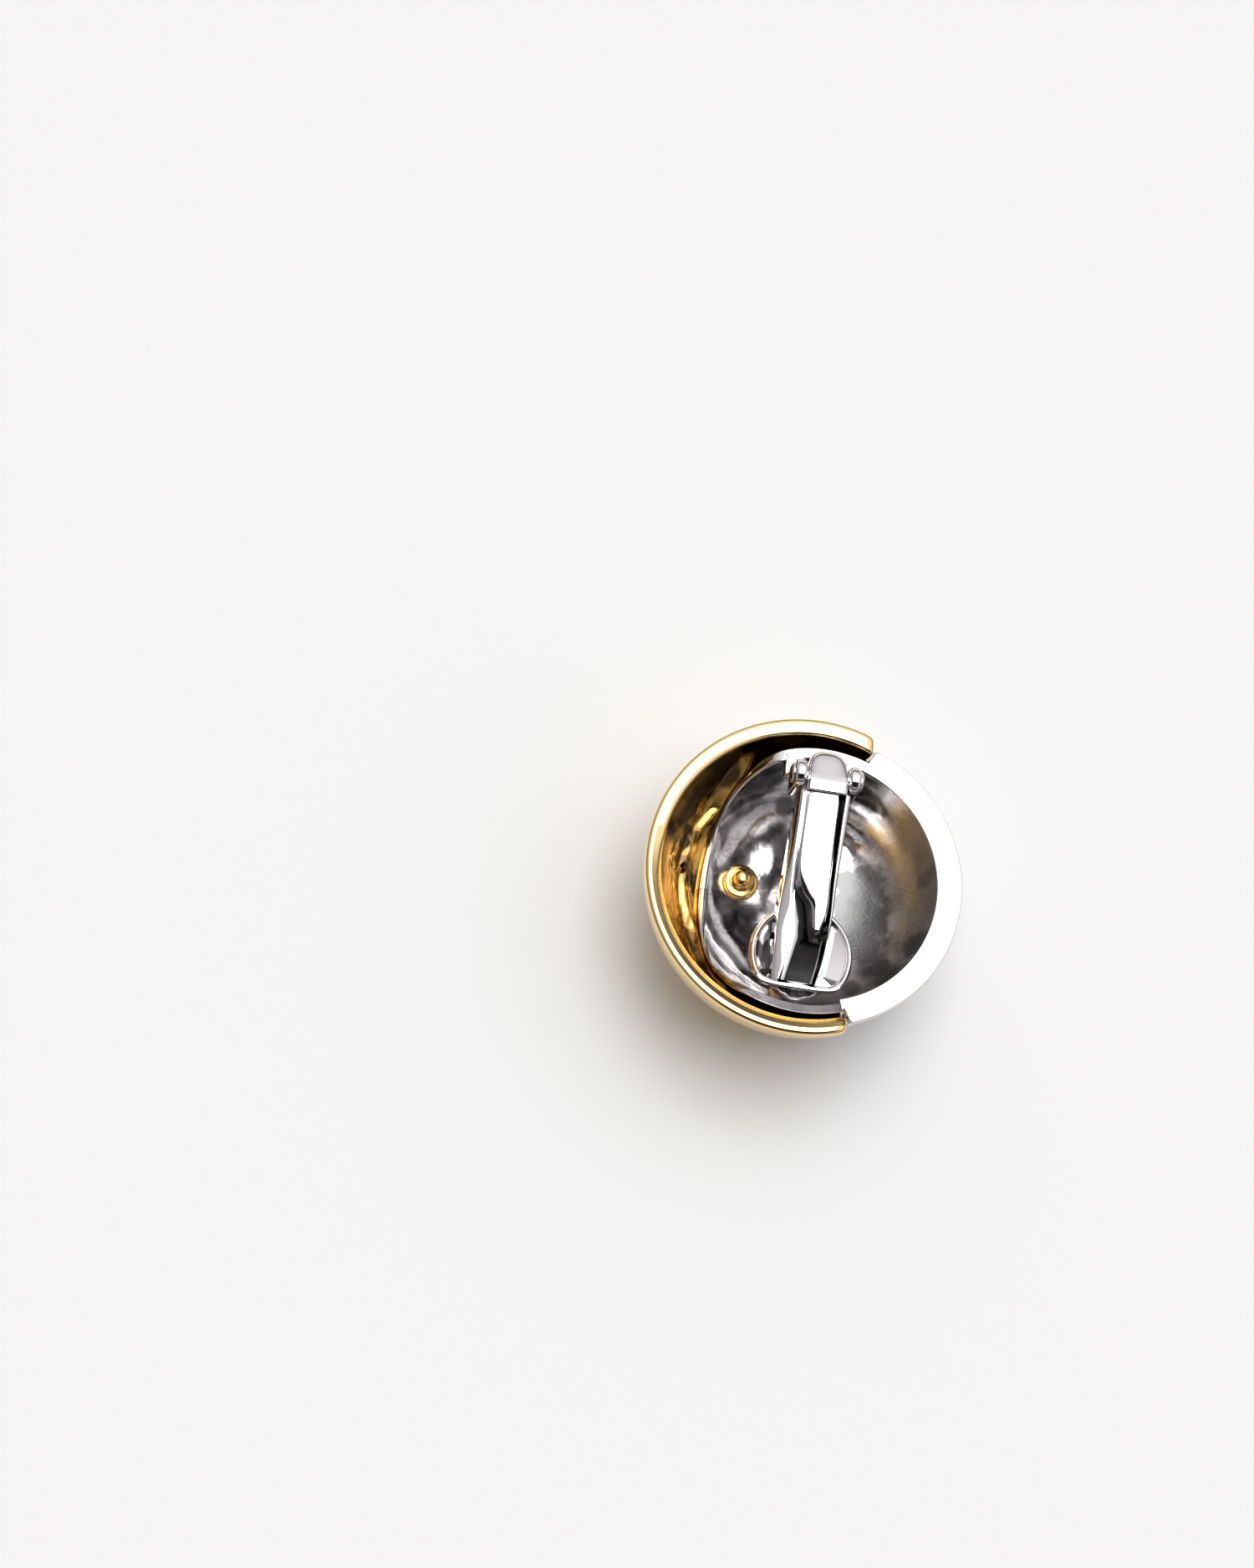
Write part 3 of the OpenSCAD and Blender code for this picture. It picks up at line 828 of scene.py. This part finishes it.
class Recipe:
    """One material or world: its tree, its shader, and the place or direction it is asked for."""

    def __init__(self, owner, shader, place, **fixed):
        owner.use_nodes = True
        self.owner, self.tree = owner, owner.node_tree
        self.shader = self.tree.nodes[shader]
        self.place = self.add("ShaderNodeTexCoord", {}, out=place)
        for socket, value in fixed.items():
            self.shader.inputs[socket.replace("_", " ")].default_value = value

    def add(self, kind, settings, *inputs, out=0, **named):
        """A node of that kind: settings first, then its sockets in order or by name."""
        node = self.tree.nodes.new(kind)
        for key, value in settings.items():
            setattr(node, key, value)
        for key, value in enumerate(inputs):
            self.feed(node.inputs[key], value)
        for key, value in named.items():
            self.feed(node.inputs[key.replace("_", " ")], value)
        return Wire(self, node.outputs[out])

    def feed(self, socket, value):
        """A wire is linked, anything else is set on the socket."""
        if isinstance(value, Wire):
            self.tree.links.new(value.socket, socket)
        else:
            socket.default_value = value

    def mix(self, a, b, mask):
        """Colour a where mask is 0 and b where it is 1. The Mix node keeps a set of sockets for
        each kind of data: those for colours are inputs 6 and 7 and output 2."""
        node = self.tree.nodes.new("ShaderNodeMix")
        node.data_type = "RGBA"
        for key, value in ((0, mask), (6, a), (7, b)):
            self.feed(node.inputs[key], (*value, 1) if isinstance(value, tuple) else value)
        return Wire(self, node.outputs[2])

    def axes(self):
        """The three numbers of the place, as wires."""
        node = self.add("ShaderNodeSeparateXYZ", {}, self.place).socket.node
        return [Wire(self, node.outputs[k]) for k in range(3)]

    def noise(self, scale, detail, roughness=0.5):
        """Noise between 0 and 1 over the object's own coordinates; scale is waves per metre."""
        return self.add(
            "ShaderNodeTexNoise", {}, Vector=self.place, Scale=scale, Detail=detail,
            Roughness=roughness,
        )

    def bump(self, height, distance, strength):
        """Normal from a height of 0 to 1, which stands distance metres high."""
        return self.add("ShaderNodeBump", {}, Height=height, Distance=distance, Strength=strength)

    def finish(self, **varying):
        """Feeds the sockets that change over the surface, and returns the material or world."""
        for socket, value in varying.items():
            self.feed(self.shader.inputs[socket.replace("_", " ")], value)
        return self.owner


# %% [markdown]
# Polished plating is almost a perfect mirror, so it shows the room. A faint haze and the wide
# waves of the buffing wheel keep it from looking computed. In the clip's grooves and its dish the
# same metal is painted nearly black, as shade.

# %% Polished metals
HAZE, WAVE_HIGH = 0.05, 0.02 * MM
# How dark painted shade makes the clip's metal, as a share of its colour.
PAINTED_SHADE_LEVEL = 0.12


def metal(name, **fixed):
    """A recipe for a fully metallic material, on the object's own coordinates."""
    return Recipe(bpy.data.materials.new(name), "Principled BSDF", "Object", Metallic=1.0, **fixed)


def polished(name, colour, roughness, shade_painted=None):
    """Mirror polish: one colour, a faint uneven gloss and the wave that a buffing wheel leaves.
    The last argument names a mesh attribute: where it is 1, shade paints the metal nearly black."""
    r = metal(name, Base_Color=(*colour, 1))
    haze = r.noise(420.0, 4.0, 0.6)
    wave = r.noise(160.0, 2.0)
    if shade_painted:
        painted_shade_mask = r.add("ShaderNodeAttribute", {"attribute_name": shade_painted}, out="Fac")
        r.finish(Base_Color=r.mix(colour, tuple(PAINTED_SHADE_LEVEL * c for c in colour), painted_shade_mask))
    return r.finish(Roughness=haze * HAZE + roughness, Normal=r.bump(wave, WAVE_HIGH, 0.25))


gold_mirror = polished("gold_mirror", (0.97, 0.7, 0.32), 0.05)
gold_satin = polished("gold_satin", (0.95, 0.62, 0.22), 0.16)
silver_mirror = polished("silver_mirror", (0.88, 0.875, 0.87), 0.05)
NICKEL = (0.86, 0.84, 0.845)
clip_nickel = polished("clip_nickel", NICKEL, 0.035)
# The clip's nickel, painted nearly black as shade where its mask is 1.
clip_painted_shade = polished("clip_nickel_painted_shade", NICKEL, 0.035, "painted_shade_mask")
for finish in (gold_mirror, gold_satin, silver_mirror, clip_nickel, clip_painted_shade):
    print("polished metal", finish.name)

# %% [markdown]
# The insides are plated over the raw casting. They have a fine grain and patches of more and less
# gloss. Painted shade lies on them in dark spots: each spot is listed where the real piece looks
# dark, and noise makes its border ragged. The silver is also duller on its right side, where the
# skin is matt and grainy, and its colour is painted darker there as shade.

# %% Metals as cast
GRAIN_HIGH, MATT_ROUGHER = 0.03 * MM, 0.32


def painted_shade(r, x, y, spots):
    """Patches of painted shade: 1 at each spot (x, y, radius in the maker's mm, strength), 0 a
    radius away; noise moves their borders."""
    ragged = (r.noise(900.0, 3.0, 0.6) - 0.5) * 1.4
    total = 0.0
    for spot_x, spot_y, radius, strength in spots:
        dx = x * (1 / (radius * MM)) - (spot_x + PLACE[0]) / radius
        dy = y * (1 / (radius * MM)) - (spot_y + PLACE[1]) / radius
        total = (1 - (dx * dx + dy * dy) + ragged).stepped(0.0, 1.0) * strength + total
    return total.stepped(0.0, 1.0)


def as_cast(name, bright, dark, shade_colour, gloss, shade, matt_and_shade=None):
    """Unpolished casting: a fine grain, and patches that differ a little in gloss and tone. gloss
    is the lowest and highest roughness. Two functions give masks: shade(r, x, y, z) turns the metal
    to the painted shade's colour, and the last one adds grain, dulls and paints the colour darker
    as shade."""
    r = metal(name)
    axes = r.axes()
    dull_and_shade = matt_and_shade(*axes) if matt_and_shade else 0.0
    patches = r.noise(380.0, 3.0, 0.6).stepped(0.36, 0.64)
    grain = r.noise(4200.0, 3.0, 0.65)
    tone = (patches * 0.4 + grain * 0.6).stepped(0.2, 0.7)
    # Where the skin is matt, the colour is also painted darker, as shade.
    clean = r.mix(dark, bright, tone * (1 - dull_and_shade * 0.7))
    return r.finish(
        Base_Color=r.mix(clean, shade_colour, shade(r, *axes)),
        Roughness=patches * (gloss[1] - gloss[0]) + gloss[0] + dull_and_shade * MATT_ROUGHER,
        Normal=r.bump(grain * (dull_and_shade * 0.8 + 0.2), GRAIN_HIGH, 0.8),
    )


# Spots of painted shade, (x, y, radius, strength) in the maker's mm, listed where the metal should
# look dark.
GOLD_SHADE_SPOTS = [
    (-9.7, 2.7, 0.8, 0.7), (-9.3, 4.1, 1.1, 0.9), (-8.8, 5.1, 1.2, 0.95), (-8.2, 6.0, 1.2, 0.95),
    (-7.3, 6.8, 1.2, 0.95), (-6.2, 7.6, 1.1, 0.9), (-8.1, 3.4, 0.7, 0.9), (-8.35, 2.6, 0.7, 0.9),
    (-8.05, 1.65, 0.8, 0.95), (-7.75, 0.6, 0.8, 0.95),
]
SILVER_SHADE_SPOTS = [
    (-4.3, 7.2, 1.3, 0.9), (-3.0, 8.0, 1.2, 0.9), (-1.6, 6.7, 1.0, 0.9), (-5.0, 5.8, 0.8, 0.7),
    (-3.2, -1.0, 1.1, 0.95), (-1.7, -0.3, 0.7, 0.8), (3.1, 7.9, 1.1, 0.9), (4.3, 7.4, 0.8, 0.5),
    (3.7, 4.7, 0.6, 0.7), (4.1, 2.5, 1.5, 0.95), (6.4, -4.7, 1.6, 0.75), (8.2, -2.7, 1.3, 0.75),
    (4.2, -5.6, 1.0, 0.75), (8.4, 2.1, 0.8, 0.5), (4.9, 2.2, 2.0, 0.95), (5.0, 0.3, 2.3, 0.95),
    (5.3, -1.8, 2.2, 0.85), (3.4, -1.6, 1.8, 0.8), (5.2, -3.6, 1.6, 0.6),
    (3.6, 0.5, 1.6, 0.95), (3.9, 1.9, 1.4, 0.95),
]
gold_cast = as_cast(
    "gold_cast", (0.97, 0.62, 0.17), (0.66, 0.37, 0.09), (0.13, 0.085, 0.04), (0.1, 0.26),
    # Painted shade: darker towards the rim, from 6 to 10 mm up, and in the listed spots.
    lambda r, x, y, z: z.stepped(6 * MM, 10 * MM) * 0.45 + painted_shade(r, x, y, GOLD_SHADE_SPOTS),
)
silver_cast = as_cast(
    "silver_cast", (0.84, 0.82, 0.82), (0.46, 0.44, 0.44), (0.18, 0.175, 0.175), (0.07, 0.17),
    # Painted shade in the listed spots.
    lambda r, x, y, z: painted_shade(r, x, y, SILVER_SHADE_SPOTS),
    # The right side: matt and grainy, and painted darker there as shade.
    lambda x, y, z: (x * 0.9 - y * 0.45).stepped(1.5 * MM, 5.5 * MM),
)
print("spots of tarnish: gold", len(GOLD_SHADE_SPOTS), "silver", len(SILVER_SHADE_SPOTS))

# %% [markdown]
# A shell has two finishes: the first for its polished outside and rim, the second for the faces
# that are as cast. The clip and its seat are nickel throughout, a little darker than the silver.

# %% Finishes on the pieces
FINISHES = {
    "gold_wrap": [gold_mirror, gold_cast],
    "silver_bowl": [silver_mirror, silver_cast],
    "rivet_peg": [gold_satin],
    "stop_pad": [silver_cast],
    # Channel and paddle take the nickel with painted shade.
    "lever_channel": [clip_painted_shade],
    "lever_paddle": [clip_painted_shade],
}
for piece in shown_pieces():
    for finish in FINISHES.get(piece.name, [clip_nickel]):
        piece.data.materials.append(finish)
    print(piece.name, [finish.name for finish in piece.data.materials])

# %% [markdown]
# The earring lies on a sheet of pale matt paper. The camera stands far away with a long lens, so
# lines hardly run together, as in a catalogue picture. Its three directions were fitted to the
# two rims of the dome, which show as ellipses; the height of the picture is given in metres at
# the earring's distance, and the lens follows from it.

# %% Floor and camera
floor_mesh = bpy.data.meshes.new("floor")
corners = np.array([(-1, -1, 0), (1, -1, 0), (1, 1, 0), (-1, 1, 0)]) * 3.0
floor_mesh.from_pydata(corners, [], [(0, 1, 2, 3)])
floor = put("floor", floor_mesh)
paper = bpy.data.materials.new("pale_paper")
Recipe(paper, "Principled BSDF", "Object", Base_Color=(0.925, 0.925, 0.92, 1), Roughness=0.7)
floor_mesh.materials.append(paper)

RIGHT, UP, BACK = np.array([
    [0.9782, 0.1014, 0.1812], [-0.1517, 0.9449, 0.2900], [-0.1418, -0.3112, 0.9397],
])
LOOK = np.array([-12.805, 4.847, 10.065]) * MM
FRAME_HIGH, AWAY, SENSOR = 0.10745, 0.6, 36.0
camera_data = bpy.data.cameras.new("camera")
camera_data.lens, camera_data.sensor_width = SENSOR * AWAY / FRAME_HIGH, SENSOR
camera_data.clip_start, camera_data.clip_end = 0.01, 20
camera = put("camera", camera_data)
turn = Matrix(np.stack([RIGHT, UP, BACK], 1).tolist()).to_4x4()
camera.matrix_world = Matrix.Translation(Vector(LOOK + BACK * AWAY)) @ turn
bpy.context.scene.camera = camera
print("camera", AWAY, "m away with a lens of", round(camera_data.lens, 1), "mm")

# %% [markdown]
# The room above the table lights the floor and is what the polished metal shows. A large white
# panel hangs overhead and reaches out to the far side. The room is lightest at the far right,
# and a dark part on the near side makes the black lines in the metal. The panel is the part of
# the sky between four planes through the earring, each softened a little, so it is written as
# a product of four soft steps.

# %% Studio sky
PANEL = {"west": 0.28, "east": 0.31, "south": 0.28, "north": 0.6}
PANEL_BRIGHT, DARK_SIDE_DEPTH = 3.3, 0.96
world = bpy.data.worlds.new("studio")
sky = Recipe(world, "Background", "Generated")
east, north, up = sky.axes()
panel = (
    (east + up * PANEL["west"]).stepped(-0.02, 0.02)
    * (up * PANEL["east"] - east).stepped(-0.03, 0.03)
    * (north + up * PANEL["south"]).stepped(-0.02, 0.02)
    * (up * PANEL["north"] - north).stepped(-0.05, 0.05)
)
dark_side = (
    (north * -1 - up * PANEL["south"]).stepped(0.0, 0.03)
    * (east + up * 0.62).stepped(-0.04, 0.04)
    * (up * 0.6 - east).stepped(-0.04, 0.04)
    * up.stepped(0.45, 0.6)
)
open_side = (east * 0.54 + north * 0.84).stepped(-0.7, 0.78) * up.stepped(0.0, 1.0)
above_table = up.stepped(0.06, 0.3)
ceiling = (1 - open_side) * up.stepped(0.6, 0.9)
room = (open_side * 1.04 + 0.25 + ceiling * 0.13) * (above_table * 0.9 + 0.1)
sky.finish(
    Color=sky.mix((1.0, 0.965, 0.975), (0.98, 0.995, 0.985), panel),
    Strength=(room + panel * PANEL_BRIGHT) * (1 - dark_side * DARK_SIDE_DEPTH),
)
bpy.context.scene.world = world
bpy.context.scene.view_settings.view_transform = "Standard"
print("studio sky of", len(sky.tree.nodes), "nodes")
